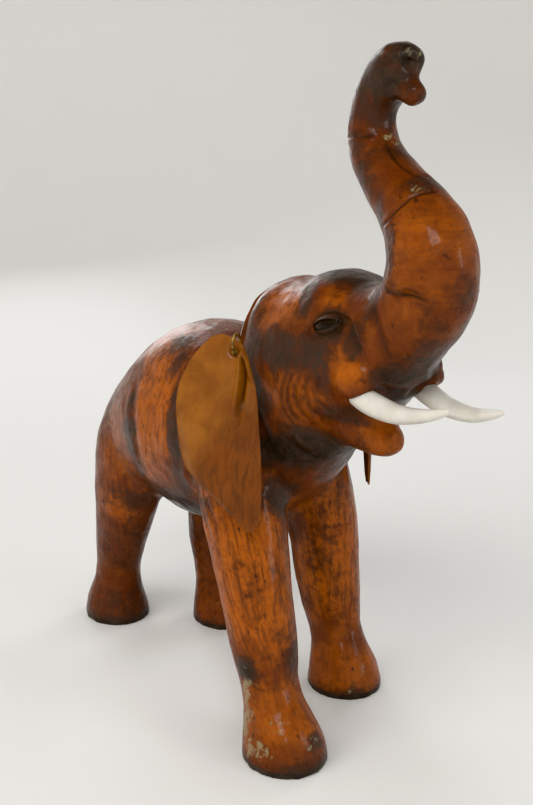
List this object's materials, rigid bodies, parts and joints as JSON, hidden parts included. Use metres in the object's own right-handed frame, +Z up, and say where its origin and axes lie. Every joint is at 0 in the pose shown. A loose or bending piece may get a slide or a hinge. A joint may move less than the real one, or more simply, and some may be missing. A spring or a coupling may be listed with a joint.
{
  "type": "elephant figurine",
  "caption": "Standing trunk-up elephant figure of carved wood blocks under a glued leather skin, with curved tusks, hanging leather ears and a thong tail",
  "frame": {"origin": "middle of the figure's bounding box at the ground, under the body between the four feet", "axes": "+Z up, +X towards the head and tusks, +Y to the elephant's left"},
  "size_m": [0.5417, 0.2148, 0.5691],
  "materials": {
    "wood": "bare carved softwood, hidden under the leather",
    "leather": "orange-tan leather with dark stains, waxed to a gloss",
    "dark_leather": "dark brown waxed leather, worn",
    "ear_leather": "thin ochre leather, satin",
    "sole": "nearly black sole leather, matt",
    "thong": "yellowish leather thong",
    "glass": "black-brown glass eye, gloss",
    "tusk": "ivory-coloured resin, semi-gloss",
    "brass": "dull round-headed tack"
  },
  "bodies": {
    "figure": {"torso_core": "wood", "head_core": "wood", "trunk_core": "wood", "leg_core_front_right": "wood", "leg_core_front_left": "wood", "leg_core_hind_right": "wood", "leg_core_hind_left": "wood", "neck_peg": "wood", "trunk_peg": "wood", "leg_peg_front_right": "wood", "leg_peg_front_left": "wood", "leg_peg_hind_right": "wood", "leg_peg_hind_left": "wood", "torso_leather_left": "leather", "torso_leather_right": "leather", "head_leather": "leather", "trunk_leather_base": "dark_leather", "trunk_leather_middle": "dark_leather", "trunk_leather_tip": "dark_leather", "leg_leather_front_right": "leather", "leg_leather_front_left": "leather", "leg_leather_hind_right": "leather", "leg_leather_hind_left": "leather", "foot_front_right": "dark_leather", "foot_front_left": "dark_leather", "foot_hind_right": "dark_leather", "foot_hind_left": "dark_leather", "sole_front_right": "sole", "sole_front_left": "sole", "sole_hind_right": "sole", "sole_hind_left": "sole", "eye_left": "glass", "eye_right": "glass", "tusk_left": "tusk", "tusk_right": "tusk", "ear_tie_left": "thong", "ear_tie_right": "thong", "tail_tack": "brass"},
    "ear_left": {"ear_left": "ear_leather"},
    "ear_right": {"ear_right": "ear_leather"},
    "tail": {"tail": "leather", "tail_tuft": "dark_leather"}
  },
  "joints": [
    {"name": "ear_right_lift", "type": "hinge", "parent": "figure", "child": "ear_right", "pos_m": [0.06055, -0.06649, 0.33512], "axis": [-0.8291, -0.5591, 0], "range_deg": [0, 20]},
    {"name": "ear_left_lift", "type": "hinge", "parent": "figure", "child": "ear_left", "pos_m": [0.059, 0.06646, 0.33695], "axis": [0.8291, -0.5591, 0], "range_deg": [0, 20]},
    {"name": "tail_swing", "type": "hinge", "parent": "figure", "child": "tail", "pos_m": [-0.253, 0, 0.24], "axis": [1, 0, 0], "range_deg": [-30, 30]}
  ]
}
